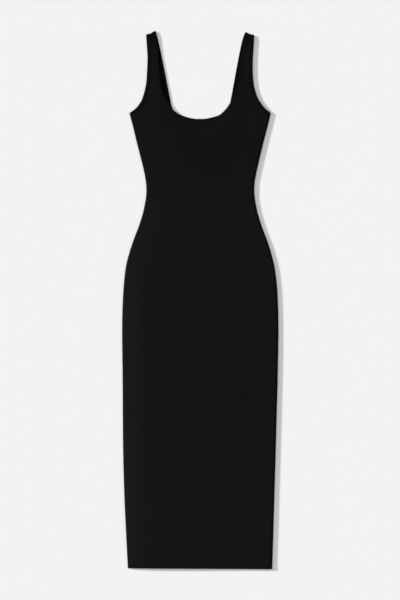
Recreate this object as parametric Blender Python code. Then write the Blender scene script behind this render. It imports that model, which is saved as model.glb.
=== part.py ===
"""Sleeveless bodycon dress with a deep scooped neck, lying flat on its back, front up.

Two knitted panels make it, a front and a back, each cut in one with its two shoulder straps.
They are sewn to each other down the sides and along the shoulders, and lie free of each other
at the hem, the armholes and the neck, where the cloth is turned in. The back's neck is cut
lower than the front's, so the back shows only beside the straps.

Each half of a panel is two nets of rows and columns. The body's rows run from the middle line
out to the side seam, one above another from the hem to the chest, where the inner columns end
along the bottom of the neck. The outer columns go on up the strap, whose rows run from the
neck out to the armhole. A panel is one closed wall of cloth: an upper and a lower face over
its nets, joined round its edge.

The frame is in metres: +X to the right and +Y from the hem to the shoulders, as one looks
down on the front, +Z up, and the origin under the middle of the dress.
"""

from collections import namedtuple

import bmesh
import bpy
import numpy as np

# Cloth
CLOTH = 0.0012  # one layer of compact knit
TURNED = 0.0008  # what a turned edge or a seam allowance adds inside
TURN_DEPTH = 0.0085  # width of the turned edges and of the seam allowances
TURN_FADE = 0.0025  # over which the wall thins back to one layer
SEAM_GAP = 0.0003  # between the two panels
AIR = 0.0050  # the most that the front is lifted over the lie of its seams
LEFT_RISE = 0.050  # from the left side seam to where it is lifted fully
RIGHT_RISE = 0.200  # from the right side seam, where it comes down more gently
OPEN_AIR = 0.3  # the share of the lift that it keeps at its neck and armholes
OPEN_RISE = 0.060  # from those edges to where it is lifted fully
SAG = 0.0012  # how much the front sinks where the lower cut of the back's neck leaves it bare
SAG_REACH = 0.030  # from the back's neck to where it has sunk that much
OPEN_ROUND = 0.0012  # how far in a turned edge is rounded, above and below
SEAM_ROUND = 0.0020  # how far in a seamed edge is rounded, on its outer face
SEAM_REACH = 0.0080  # beyond this a seam no longer shapes an open edge's rounding
RIM = 0.35  # the wall's height at its very edge, as a share of its whole height

# Sizes down are from the shoulders' highest point. Sizes across are from the middle line out,
# to the left and to the right as the dress lies.
LENGTH = 1.2420  # to the lowest point of the hem
HEM_DOWN = {"left": 1.2400, "right": LENGTH}  # the hem's two ends

Level = namedtuple("Level", "down left right")
SIDE_SEAMS = (
    Level(LENGTH, 0.1669, 0.1660),  # hem
    Level(1.1600, 0.1711, 0.1686),
    Level(1.0700, 0.1752, 0.1712),
    Level(0.9800, 0.1777, 0.1739),
    Level(0.8870, 0.1787, 0.1764),
    Level(0.7900, 0.1792, 0.1790),
    Level(0.6900, 0.1803, 0.1804),  # hip
    Level(0.6350, 0.1792, 0.1795),
    Level(0.5850, 0.1762, 0.1768),
    Level(0.5400, 0.1707, 0.1704),
    Level(0.4940, 0.1578, 0.1579),
    Level(0.4480, 0.1407, 0.1409),
    Level(0.4250, 0.1334, 0.1338),
    Level(0.4000, 0.1278, 0.1281),
    Level(0.3780, 0.1246, 0.1249),  # waist
    Level(0.3560, 0.1247, 0.1250),
    Level(0.3350, 0.1275, 0.1281),
    Level(0.3100, 0.1330, 0.1335),
    Level(0.2630, 0.1450, 0.1446),
    Level(0.2170, 0.1561, 0.1565),
    Level(0.1900, 0.1634, 0.1628),  # underarm
)
ARMHOLES = (
    Level(0.1900, 0.1634, 0.1628),  # underarm
    Level(0.1865, 0.1583, 0.1584),
    Level(0.1800, 0.1495, 0.1501),
    Level(0.1730, 0.1433, 0.1441),
    Level(0.1660, 0.1383, 0.1392),
    Level(0.1595, 0.1348, 0.1352),
    Level(0.1525, 0.1323, 0.1317),
    Level(0.1455, 0.1299, 0.1291),
    Level(0.1315, 0.1265, 0.1252),
    Level(0.1180, 0.1243, 0.1228),
    Level(0.0900, 0.1225, 0.1212),
    Level(0.0625, 0.1215, 0.1216),
    Level(0.0345, 0.1232, 0.1234),
    Level(0.0098, 0.1248, 0.1247),  # shoulder
)
FRONT_NECK = (
    Level(0.2034, 0.0000, 0.0000),  # bottom of the scoop
    Level(0.2029, 0.0125, 0.0118),
    Level(0.2008, 0.0245, 0.0228),
    Level(0.1940, 0.0452, 0.0448),
    Level(0.1870, 0.0570, 0.0529),
    Level(0.1795, 0.0645, 0.0601),
    Level(0.1690, 0.0720, 0.0674),
    Level(0.1590, 0.0785, 0.0732),
    Level(0.1500, 0.0830, 0.0775),
    Level(0.1315, 0.0887, 0.0838),
    Level(0.1130, 0.0914, 0.0878),
    Level(0.0945, 0.0938, 0.0905),
    Level(0.0670, 0.0960, 0.0942),
    Level(0.0390, 0.0976, 0.0982),
    Level(0.0140, 0.1004, 0.1018),
    Level(0.0021, 0.1030, 0.1044),  # shoulder
)
BACK_NECK = (
    Level(0.2450, 0.0000, 0.0000),  # bottom of the scoop
    Level(0.2380, 0.0240, 0.0245),
    Level(0.2215, 0.0425, 0.0453),
    Level(0.2010, 0.0552, 0.0589),
    Level(0.1800, 0.0641, 0.0658),
    Level(0.1455, 0.0717, 0.0731),
    Level(0.0900, 0.0826, 0.0832),
    Level(0.0345, 0.0940, 0.0941),
    Level(0.0140, 0.0989, 0.0994),
    Level(0.0021, 0.1030, 0.1044),  # shoulder
)

# How far the shoulder seams lie above straight lines, at shares of the way out to the armholes.
Rise = namedtuple("Rise", "share left right")
SHOULDER_SEAMS = (
    Rise(0.00, 0.0009, -0.0009),  # neck
    Rise(0.07, 0.0026, -0.0002),
    Rise(0.37, 0.0012, -0.0016),
    Rise(0.62, -0.0001, -0.0014),
    Rise(0.80, 0.0013, 0.0000),
    Rise(1.00, 0.0008, -0.0008),  # armhole
)

# How much of the most air lies under the front, down the dress.
Air = namedtuple("Air", "down share")
FRONT_AIR = (
    Air(0.000, 0.00),  # shoulders
    Air(0.150, 0.10),
    Air(0.260, 0.35),  # bust
    Air(0.378, 0.50),  # waist
    Air(0.560, 0.95),
    Air(0.690, 1.00),  # hip
    Air(1.000, 1.00),
    Air(1.242, 0.25),  # hem
)

# Low rises of the front over the air inside it: where each is, how far it spreads and how high.
Swell = namedtuple("Swell", "down across spread_down spread_across height")
SWELLS = (
    Swell(0.300, -0.030, 0.090, 0.080, 0.0004),
    Swell(0.470, 0.040, 0.110, 0.100, 0.0005),
    Swell(0.640, -0.060, 0.080, 0.090, 0.0004),
    Swell(0.800, 0.050, 0.120, 0.080, 0.0003),
    Swell(0.960, -0.040, 0.090, 0.110, 0.0005),
    Swell(1.120, 0.060, 0.080, 0.090, 0.0003),
)

# Nets
EDGE_LINES = (0.0015, TURN_DEPTH, TURN_DEPTH + TURN_FADE)  # kept this far in from an edge
NARROW = 0.46  # but no further in than this share of a strap's width
BODY_STEP = 0.026  # between rows of the body
STRAP_STEP = 0.011  # between rows of a strap
NECK_COLUMNS = 5  # columns of each half that end along the bottom of the neck
STRAP_COLUMNS = 2  # columns of a strap between its edge lines
CHEST = 0.140  # how far below the neck the rows begin to take up its curve
SHOULDER = 0.016  # how far below a shoulder seam the rows begin to take up its curve
CURVE_STEPS = 16  # samples between two rows of a table
WELD = 1e-7  # places nearer than this are one

# Colours are linear.
Finish = namedtuple("Finish", "name colour roughness")
FRONT_FINISH = Finish("black compact knit front", (0.0080, 0.0075, 0.0087, 1.0), 0.85)
BACK_FINISH = Finish("black compact knit back", (0.0075, 0.0071, 0.0082, 1.0), 0.85)

# A panel's neck turns from its bottom up to the straps at neck_turn, a share of each half of it.
# The other panel meets its wall at seam_height, a share of the wall's height.
Panel = namedtuple("Panel", "name neck neck_turn faces seam_height finish")

# One stretch of a panel's edge: the maker's word for it, its side and its places in order.
Stretch = namedtuple("Stretch", "name side places")
SEWN = ("side seam", "shoulder seam")  # sewn to the other panel

SIDES = {"left": -1.0, "right": 1.0}


def clear_scene():
    """Removes whatever the file was opened with."""
    for obj in list(bpy.data.objects):
        bpy.data.objects.remove(obj, do_unlink=True)


def spot(down, out, side):
    """The place of a point given from the shoulders down and from the middle line out."""
    return np.array((SIDES[side] * out, LENGTH / 2 - down))


def knots(table, side):
    """A table's rows as places on one side of the middle line."""
    return [spot(row.down, getattr(row, side), side) for row in table]


def smooth(points, lead=None):
    """Samples of a centripetal Catmull-Rom curve through points, led in by a point before them."""
    lead = 2 * points[0] - points[1] if lead is None else lead
    points = [lead, *points, 2 * points[-1] - points[-2]]
    samples = [points[1]]
    for before, start, end, after in zip(points, points[1:], points[2:], points[3:]):
        past = np.linalg.norm(start - before) ** 0.5
        span = np.linalg.norm(end - start) ** 0.5
        coming = np.linalg.norm(after - end) ** 0.5
        chord = end - start
        leave = chord + span * ((start - before) / past - (end - before) / (past + span))
        arrive = chord + span * ((after - end) / coming - (after - start) / (span + coming))
        for t in np.arange(1, CURVE_STEPS + 1) / CURVE_STEPS:
            bend = t**2 * (3 * chord - 2 * leave - arrive) + t**3 * (leave + arrive - 2 * chord)
            samples.append(start + t * leave + bend)
    return np.array(samples)


def length_of(line):
    """The whole length of a line of samples."""
    return np.linalg.norm(np.diff(line, axis=0), axis=1).sum()


def along(line, shares):
    """The places at shares of a line's length."""
    steps = np.linalg.norm(np.diff(line, axis=0), axis=1)
    lengths = np.append(0.0, np.cumsum(steps)) / steps.sum()
    return np.column_stack([np.interp(shares, lengths, line[:, axis]) for axis in (0, 1)])


def spaced(length, steps, near=(), far=()):
    """Shares of a length: its ends, lines kept near them, and even steps in between."""
    start = np.minimum([0.0, *near], NARROW * length)
    end = length - np.minimum([0.0, *far], NARROW * length)
    middle = np.linspace(start[-1], end[-1], steps + 1)[1:-1]
    return np.concatenate([start, middle, end[::-1]]) / length


def spaced_by(length, step, near=(), far=()):
    """The same, with as many steps as fit."""
    return spaced(length, max(1, round(length / step)), near, far)


def body_net(middle, seam, chest):
    """One half of the body as rows of places, from the hem up to the chest.

    Its rows run from the middle line out to the side seam. They are straight, and take up the
    chest's line as they come near it.
    """
    height = length_of(middle)
    chord = chest[-1] - chest[0]
    chest_shares = (chest - chest[0]) @ chord / (chord @ chord)
    bulge = chest - chest[0] - chest_shares[:, None] * chord
    rows = []
    for share in spaced_by(height, BODY_STEP, EDGE_LINES, EDGE_LINES):
        start, end = along(middle, share)[0], along(seam, share)[0]
        width = np.linalg.norm(end - start)
        even_shares = spaced(width, len(chest) - 1 - len(EDGE_LINES), far=EDGE_LINES)
        blend = max(0.0, 1 - (1 - share) * height / CHEST) ** 2
        shares = even_shares + blend * (chest_shares - even_shares)
        rows.append(start + shares[:, None] * (end - start) + blend * bulge)
    return np.array(rows)


def strap_net(neck, armhole, side):
    """One strap as rows of places from the neck out to the armhole, up to the shoulder seam."""
    height = length_of(armhole)
    rows = []
    for share in spaced_by(height, STRAP_STEP, far=EDGE_LINES):
        start, end = along(neck, share)[0], along(armhole, share)[0]
        width = np.linalg.norm(end - start)
        shares = spaced(width, STRAP_COLUMNS, EDGE_LINES, EDGE_LINES)
        rises = [getattr(row, side) for row in SHOULDER_SEAMS]
        rise = np.interp(shares, [row.share for row in SHOULDER_SEAMS], rises)
        blend = max(0.0, 1 - (1 - share) * height / SHOULDER)
        row = start + shares[:, None] * (end - start)
        row[:, 1] += blend * rise
        rows.append(row)
    return np.array(rows)


def half_nets(panel, side):
    """The body's and the strap's nets of one half of a panel."""
    seam, neck = knots(SIDE_SEAMS, side), knots(panel.neck, side)
    seam[0][1] = LENGTH / 2 - HEM_DOWN[side]
    middle = np.array((spot(np.mean(list(HEM_DOWN.values())), 0.0, side), neck[0]))
    neck_line = smooth(neck, lead=neck[1] * np.array((-1.0, 1.0)))
    bottom = along(neck_line, np.linspace(0.0, panel.neck_turn, NECK_COLUMNS + 1))
    beside = along(neck_line, np.linspace(panel.neck_turn, 1.0, len(neck_line)))
    strap = strap_net(beside, smooth(knots(ARMHOLES, side)), side)
    chest = np.concatenate([bottom[:-1], strap[0]])
    return body_net(middle, smooth(seam), chest), strap


def stretches_of(side, body, strap):
    """The stretches of the edge round one half of a panel."""
    return [
        Stretch("hem", side, body[0]),
        Stretch("side seam", side, body[:, -1]),
        Stretch("armhole", side, strap[:, -1]),
        Stretch("shoulder seam", side, strap[-1]),
        Stretch("neck", side, strap[:, 0]),
        Stretch("neck", side, body[-1, : NECK_COLUMNS + 1]),
    ]


def named(stretches, names, sides=tuple(SIDES)):
    """The stretches that have one of the names and one of the sides."""
    return [each for each in stretches if each.name in names and each.side in sides]


def welded(nets):
    """The places of all the nets, each once, and the quads between them as numbers of places."""
    every = np.concatenate([net.reshape(-1, 2) for net in nets])
    rounded_off = np.round(every / WELD)
    _, first, number = np.unique(rounded_off, axis=0, return_index=True, return_inverse=True)
    number = number.reshape(-1)
    quads, used = [], 0
    for net in nets:
        rows, columns = net.shape[:2]
        grid = number[used : used + rows * columns].reshape(rows, columns)
        used += rows * columns
        corners = (grid[:-1, :-1], grid[:-1, 1:], grid[1:, 1:], grid[1:, :-1])
        order = corners if net[0, -1, 0] > net[0, 0, 0] else corners[::-1]
        quads.extend(np.stack(order, axis=-1).reshape(-1, 4).tolist())
    return every[first], quads


def rim_of(quads):
    """The edges that only one quad has, each in that quad's direction."""
    edges = {(a, b) for quad in quads for a, b in zip(quad, quad[1:] + quad[:1])}
    return sorted((a, b) for a, b in edges if (b, a) not in edges)


def reach(places, stretches):
    """The distance from each place to the nearest of the stretches."""
    nearest = np.full(len(places), np.inf)
    for stretch in stretches:
        for start, end in zip(stretch.places[:-1], stretch.places[1:]):
            step = end - start
            share = np.clip((places - start) @ step / (step @ step), 0.0, 1.0)
            gap = np.linalg.norm(places - start - share[:, None] * step, axis=1)
            nearest = np.minimum(nearest, gap)
    return nearest


def ease(share):
    """Rises from 0 to 1 with its share, and is level at the end."""
    return 1 - (1 - np.clip(share, 0.0, 1.0)) ** 2


def crown(share):
    """Rises from 0 to 1 with its share, steadily at first, and is level at the end."""
    share = np.clip(share, 0.0, 1.0)
    return (3 * share - share**3) / 2


def wall(edge):
    """The wall's thickness at distances from the edge: turned cloth first, then one layer."""
    return CLOTH + TURNED * (1 - np.clip((edge - TURN_DEPTH) / TURN_FADE, 0.0, 1.0))


def swelling(places):
    """How much the swells lift the front at each place."""
    lift = np.zeros(len(places))
    for swell in SWELLS:
        centre = spot(swell.down, swell.across, "right")
        spread = np.array((swell.spread_across, swell.spread_down))
        lift += swell.height * np.exp(-np.sum(((places - centre) / spread) ** 2, axis=1))
    return lift


def sinking(places):
    """How much the front sinks at each place that the back's neck leaves with no cloth under it."""
    halves = [smooth(knots(BACK_NECK, side)) for side in SIDES]
    neck = np.concatenate([halves[0][::-1], halves[1]])
    beyond = places[:, 1] - np.interp(places[:, 0], neck[:, 0], neck[:, 1], np.inf, np.inf)
    return SAG * ease(beyond / SAG_REACH)


def lifted(places, stretches):
    """How much the air inside lifts the front at each place."""
    down = LENGTH / 2 - places[:, 1]
    share = np.interp(down, [row.down for row in FRONT_AIR], [row.share for row in FRONT_AIR])
    left = crown(reach(places, named(stretches, SEWN, ("left",))) / LEFT_RISE)
    right = crown(reach(places, named(stretches, SEWN, ("right",))) / RIGHT_RISE)
    opening = ease(reach(places, named(stretches, ("neck", "armhole"))) / OPEN_RISE)
    opened = OPEN_AIR + (1 - OPEN_AIR) * opening
    return left * right * opened * (AIR * share + swelling(places))


def back_faces(places, edge, stretches):
    """Heights of the back's lower and upper faces: it lies flat, with its turned cloth inside."""
    return np.zeros(len(places)), wall(edge)


def front_faces(places, edge, stretches):
    """Heights of the front's lower and upper faces: it lies on the back, over a little air."""
    edge_height = wall(0.0) + SEAM_GAP + wall(0.0)
    upper = edge_height + lifted(places, stretches) - sinking(places)
    return upper - wall(edge), upper


def rounded(low, high, edge, seam, seam_height):
    """Draws a wall's two faces towards each other near its edge.

    They close on half the wall's height at an open edge, and at a seam on the height where the
    other panel meets it.
    """
    sewn = 1 - np.clip(seam / SEAM_REACH, 0.0, 1.0)
    rim = low + (0.5 + (seam_height - 0.5) * sewn) * (high - low)
    depth = OPEN_ROUND + (SEAM_ROUND - OPEN_ROUND) * sewn
    opened = RIM + (1 - RIM) * np.sqrt(ease(edge / depth))
    return rim + (low - rim) * opened, rim + (high - rim) * opened


def cloth_material(finish):
    """The plain material of one panel."""
    material = bpy.data.materials.new(finish.name)
    material.use_nodes = True
    shader = material.node_tree.nodes["Principled BSDF"]
    shader.inputs["Base Color"].default_value = finish.colour
    shader.inputs["Roughness"].default_value = finish.roughness
    shader.inputs["Metallic"].default_value = 0.0
    return material


def build_panel(panel):
    """Builds one panel as a closed wall of cloth over its nets."""
    halves = {side: half_nets(panel, side) for side in SIDES}
    stretches = [each for side, half in halves.items() for each in stretches_of(side, *half)]
    places, quads = welded([net for half in halves.values() for net in half])
    edge = reach(places, stretches)
    seam = reach(places, named(stretches, SEWN))
    faces = panel.faces(places, edge, stretches)
    low, high = rounded(*faces, edge, seam, panel.seam_height)

    form = bmesh.new()
    upper = [form.verts.new((*place, height)) for place, height in zip(places, high)]
    lower = [form.verts.new((*place, height)) for place, height in zip(places, low)]
    for quad in quads:
        form.faces.new([upper[number] for number in quad])
        form.faces.new([lower[number] for number in reversed(quad)])
    for start, end in rim_of(quads):
        form.faces.new((lower[start], lower[end], upper[end], upper[start]))

    mesh = bpy.data.meshes.new(panel.name)
    form.to_mesh(mesh)
    form.free()
    mesh.shade_smooth()
    mesh.materials.append(cloth_material(panel.finish))
    bpy.context.scene.collection.objects.link(bpy.data.objects.new(panel.name, mesh))


PANELS = (
    Panel(
        name="back_panel",
        neck=BACK_NECK,
        neck_turn=0.22,
        faces=back_faces,
        seam_height=1.0,
        finish=BACK_FINISH,
    ),
    Panel(
        name="front_panel",
        neck=FRONT_NECK,
        neck_turn=0.28,
        faces=front_faces,
        seam_height=0.0,
        finish=FRONT_FINISH,
    ),
)


def main():
    """Clears the scene and builds the two panels."""
    clear_scene()
    for panel in PANELS:
        build_panel(panel)


main()
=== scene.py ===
"""Looks of a sleeveless bodycon dress that lies flat on its back, front up.

The dress is two knitted panels, a front and a back, each cut in one with its shoulder straps.
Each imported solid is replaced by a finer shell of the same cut, with its edges turned in, its
stitching and the low swells of the cloth. Everything is in metres in the frame of the solids:
+X to the right and +Y from the hem to the shoulders, looking down on the front, and +Z up.
"""

import logging
import math
from collections.abc import Iterable, Sequence
from dataclasses import dataclass, field
from enum import Enum
from typing import ClassVar, NamedTuple

import bpy
import numpy as np
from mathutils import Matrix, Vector
from numpy.typing import NDArray


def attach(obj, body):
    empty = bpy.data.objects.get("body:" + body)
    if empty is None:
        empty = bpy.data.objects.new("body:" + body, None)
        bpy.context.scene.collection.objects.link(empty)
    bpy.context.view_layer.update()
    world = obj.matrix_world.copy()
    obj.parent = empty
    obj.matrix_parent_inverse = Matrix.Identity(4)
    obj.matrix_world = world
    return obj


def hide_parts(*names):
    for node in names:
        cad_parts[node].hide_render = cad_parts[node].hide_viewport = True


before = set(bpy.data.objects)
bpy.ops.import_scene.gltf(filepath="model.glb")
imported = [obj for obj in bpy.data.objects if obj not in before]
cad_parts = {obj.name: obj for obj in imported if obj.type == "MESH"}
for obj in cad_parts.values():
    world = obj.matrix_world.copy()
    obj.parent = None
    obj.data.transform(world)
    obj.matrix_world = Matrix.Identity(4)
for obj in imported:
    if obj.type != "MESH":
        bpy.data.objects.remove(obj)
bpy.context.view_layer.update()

Array = NDArray[np.float64]
Colour = tuple[float, float, float, float]

log = logging.getLogger("bodycon_dress")

MM = 0.001
BODY = "root"
PRESS_AND_SHADE_LAYER = "press_and_shade"  # the name of the layer that says how dark and rough the knit is drawn, 0 to 1, partly painted shade


# --------------------------------------------------------------------------------------------
# The cut. Sizes down are from the shoulders' highest point, and sizes across are from the
# middle line out, as the dress lies.


class Level(NamedTuple):
    """One row of an outline: how far down it is, and how far out on either side."""

    down: float
    left: float
    right: float


class Rise(NamedTuple):
    """How far a shoulder seam lies above a straight line, at a share of the way out."""

    share: float
    left: float
    right: float


class HemEnds(NamedTuple):
    """How far down the hem's two ends are."""

    left: float
    right: float


class Side(Enum):
    """A side of the dress as it lies, with the sign of its X."""

    LEFT = -1.0
    RIGHT = 1.0

    def of(self, row: Level | Rise | HemEnds) -> float:
        """What a row holds for this side."""
        return row.left if self is Side.LEFT else row.right


LENGTH = 1.2420  # to the lowest point of the hem
HEM_ENDS = HemEnds(left=1.2400, right=LENGTH)
SIDE_SEAMS = (
    Level(LENGTH, 0.1669, 0.1660),  # hem
    Level(1.1600, 0.1711, 0.1686),
    Level(1.0700, 0.1752, 0.1712),
    Level(0.9800, 0.1777, 0.1739),
    Level(0.8870, 0.1787, 0.1764),
    Level(0.7900, 0.1792, 0.1790),
    Level(0.6900, 0.1803, 0.1804),  # hip
    Level(0.6350, 0.1792, 0.1795),
    Level(0.5850, 0.1762, 0.1768),
    Level(0.5400, 0.1707, 0.1704),
    Level(0.4940, 0.1578, 0.1579),
    Level(0.4480, 0.1407, 0.1409),
    Level(0.4250, 0.1334, 0.1338),
    Level(0.4000, 0.1278, 0.1281),
    Level(0.3780, 0.1246, 0.1249),  # waist
    Level(0.3560, 0.1247, 0.1250),
    Level(0.3350, 0.1275, 0.1281),
    Level(0.3100, 0.1330, 0.1335),
    Level(0.2630, 0.1450, 0.1446),
    Level(0.2170, 0.1561, 0.1565),
    Level(0.1900, 0.1634, 0.1628),  # underarm
)
ARMHOLES = (
    Level(0.1900, 0.1634, 0.1628),  # underarm
    Level(0.1865, 0.1583, 0.1584),
    Level(0.1800, 0.1495, 0.1501),
    Level(0.1730, 0.1433, 0.1441),
    Level(0.1660, 0.1383, 0.1392),
    Level(0.1595, 0.1348, 0.1352),
    Level(0.1525, 0.1323, 0.1317),
    Level(0.1455, 0.1299, 0.1291),
    Level(0.1315, 0.1265, 0.1252),
    Level(0.1180, 0.1243, 0.1228),
    Level(0.0900, 0.1225, 0.1212),
    Level(0.0625, 0.1215, 0.1216),
    Level(0.0345, 0.1232, 0.1234),
    Level(0.0098, 0.1248, 0.1247),  # shoulder
)
FRONT_NECK = (
    Level(0.2034, 0.0000, 0.0000),  # bottom of the scoop
    Level(0.2029, 0.0125, 0.0118),
    Level(0.2008, 0.0245, 0.0228),
    Level(0.1940, 0.0452, 0.0448),
    Level(0.1870, 0.0570, 0.0529),
    Level(0.1795, 0.0645, 0.0601),
    Level(0.1690, 0.0720, 0.0674),
    Level(0.1590, 0.0785, 0.0732),
    Level(0.1500, 0.0830, 0.0775),
    Level(0.1315, 0.0887, 0.0838),
    Level(0.1130, 0.0914, 0.0878),
    Level(0.0945, 0.0938, 0.0905),
    Level(0.0670, 0.0960, 0.0942),
    Level(0.0390, 0.0976, 0.0982),
    Level(0.0140, 0.1004, 0.1018),
    Level(0.0021, 0.1030, 0.1044),  # shoulder
)
BACK_NECK = (
    Level(0.2450, 0.0000, 0.0000),  # bottom of the scoop
    Level(0.2380, 0.0240, 0.0245),
    Level(0.2215, 0.0425, 0.0453),
    Level(0.2010, 0.0552, 0.0589),
    Level(0.1800, 0.0641, 0.0658),
    Level(0.1455, 0.0717, 0.0731),
    Level(0.0900, 0.0826, 0.0832),
    Level(0.0345, 0.0940, 0.0941),
    Level(0.0140, 0.0989, 0.0994),
    Level(0.0021, 0.1030, 0.1044),  # shoulder
)
SHOULDER_SEAMS = (
    Rise(0.00, 0.0009, -0.0009),  # neck
    Rise(0.07, 0.0026, -0.0002),
    Rise(0.37, 0.0012, -0.0016),
    Rise(0.62, -0.0001, -0.0014),
    Rise(0.80, 0.0013, 0.0000),
    Rise(1.00, 0.0008, -0.0008),  # armhole
)


def spot(down: float, out: float, side: Side) -> Array:
    """The X and Y of a point given from the shoulders down and from the middle line out."""
    return np.array((side.value * out, LENGTH / 2 - down))


def knots(table: Iterable[Level], side: Side) -> list[Array]:
    """The places of an outline's rows on one side."""
    return [spot(row.down, side.of(row), side) for row in table]


def ease(share: Array) -> Array:
    """Rises from 0 to 1 with its share, and is level at the end."""
    return 1 - (1 - np.clip(share, 0.0, 1.0)) ** 2


def crown(share: Array) -> Array:
    """Rises from 0 to 1 with its share, steadily at first, and is level at the end."""
    share = np.clip(share, 0.0, 1.0)
    return (3 * share - share**3) / 2


def swing(share: Array) -> Array:
    """Rises from 0 to 1 with its share, and is level at both ends."""
    share = np.clip(share, 0.0, 1.0)
    return share * share * (3 - 2 * share)


@dataclass(frozen=True)
class Line:
    """A smooth line over the floor, held as close samples."""

    samples: Array  # its places in order, one X and Y a row

    CURVE_STEPS: ClassVar[int] = 16  # samples between two of the points it goes through

    @classmethod
    def through(cls, points: Sequence[Array], lead: Array | None = None) -> "Line":
        """A centripetal Catmull-Rom curve through points.

        Args:
            points: The places it goes through.
            lead: A place before them that sets its direction at the start.

        Returns:
            The line.
        """
        lead = 2 * points[0] - points[1] if lead is None else lead
        held = [lead, *points, 2 * points[-1] - points[-2]]
        samples = [held[1]]
        for before, start, end, after in zip(held, held[1:], held[2:], held[3:]):
            past = np.linalg.norm(start - before) ** 0.5
            span = np.linalg.norm(end - start) ** 0.5
            coming = np.linalg.norm(after - end) ** 0.5
            chord = end - start
            leave = chord + span * ((start - before) / past - (end - before) / (past + span))
            arrive = chord + span * ((after - end) / coming - (after - start) / (span + coming))
            for t in np.arange(1, cls.CURVE_STEPS + 1) / cls.CURVE_STEPS:
                bend = t**2 * (3 * chord - 2 * leave - arrive) + t**3 * (leave + arrive - 2 * chord)
                samples.append(start + t * leave + bend)
        return cls(np.array(samples))

    @property
    def lengths(self) -> Array:
        """How far along the line each sample is."""
        steps = np.linalg.norm(np.diff(self.samples, axis=0), axis=1)
        return np.append(0.0, np.cumsum(steps))

    @property
    def length(self) -> float:
        """The whole length of the line."""
        return float(self.lengths[-1])

    def at(self, shares: Array | float) -> Array:
        """The places at shares of the line's length."""
        lengths = self.lengths / self.length
        return np.stack([np.interp(shares, lengths, axis) for axis in self.samples.T], axis=-1)

    def joined(self, other: "Line") -> "Line":
        """This line run backwards, and then the other, which starts where this one does."""
        return Line(np.concatenate([self.samples[::-1], other.samples[1:]]))

    def extended(self, by: float) -> "Line":
        """The line with both ends run on straight.

        Args:
            by: How far each end runs on.

        Returns:
            The longer line.
        """
        first, last = self.samples[0] - self.samples[1], self.samples[-1] - self.samples[-2]
        before = self.samples[0] + by * first / np.linalg.norm(first)
        after = self.samples[-1] + by * last / np.linalg.norm(last)
        return Line(np.concatenate([[before], self.samples, [after]]))

    def inset(self, by: float, step: float) -> "Line":
        """A line beside this one, on its left-hand side.

        Args:
            by: The distance between the two.
            step: The distance between its samples.

        Returns:
            The line beside it.
        """
        count = max(2, round(self.length / step))
        even = self.at(np.linspace(0.0, 1.0, count + 1))
        ahead = np.gradient(even, axis=0)
        ahead /= np.linalg.norm(ahead, axis=1, keepdims=True)
        return Line(even + by * np.column_stack([-ahead[:, 1], ahead[:, 0]]))

    def distance(self, places: Array) -> Array:
        """The distance from each place to the line.

        Args:
            places: The places, one X and Y a row.

        Returns:
            One distance for each.
        """
        nearest = np.full(len(places), np.inf)
        for start, end in zip(self.samples[:-1], self.samples[1:]):
            step = end - start
            share = np.clip((places - start) @ step / (step @ step), 0.0, 1.0)
            gap = np.linalg.norm(places - start - share[:, None] * step, axis=1)
            nearest = np.minimum(nearest, gap)
        return nearest


class Edging(Enum):
    """How a stretch of a panel's edge is finished."""

    TURNED = "turned in and stitched"
    SEWN = "sewn to the other panel"


class Stretch(NamedTuple):
    """One stretch of a panel's edge, with the cloth on its left-hand side."""

    name: str
    line: Line
    edging: Edging


@dataclass(frozen=True)
class Net:
    """A panel's places and the quads between them."""

    places: Array  # X and Y of each place, once
    quads: NDArray[np.int64]  # each as four numbers of places, counter-clockwise from above

    WELD: ClassVar[float] = 1e-7  # places nearer than this are one

    @classmethod
    def welded(cls, grids: Sequence[Array]) -> "Net":
        """One net of several grids that share their borders.

        Args:
            grids: The places of each, by row and column.

        Returns:
            The net.
        """
        every = np.concatenate([grid.reshape(-1, 2) for grid in grids])
        keys = np.round(every / cls.WELD)
        _, first, number = np.unique(keys, axis=0, return_index=True, return_inverse=True)
        number, quads, used = number.reshape(-1), [], 0
        for grid in grids:
            rows, columns = grid.shape[:2]
            held = number[used : used + rows * columns].reshape(rows, columns)
            used += rows * columns
            corners = (held[:-1, :-1], held[:-1, 1:], held[1:, 1:], held[1:, :-1])
            order = corners if grid[0, -1, 0] > grid[0, 0, 0] else corners[::-1]
            quads.append(np.stack(order, axis=-1).reshape(-1, 4))
        return cls(every[first], np.concatenate(quads))

    @property
    def rim(self) -> NDArray[np.int64]:
        """The edges that only one quad has, each in that quad's direction."""
        edges = {(a, b) for quad in self.quads.tolist() for a, b in zip(quad, quad[1:] + quad[:1])}
        return np.array(sorted((a, b) for a, b in edges if (b, a) not in edges))


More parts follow.
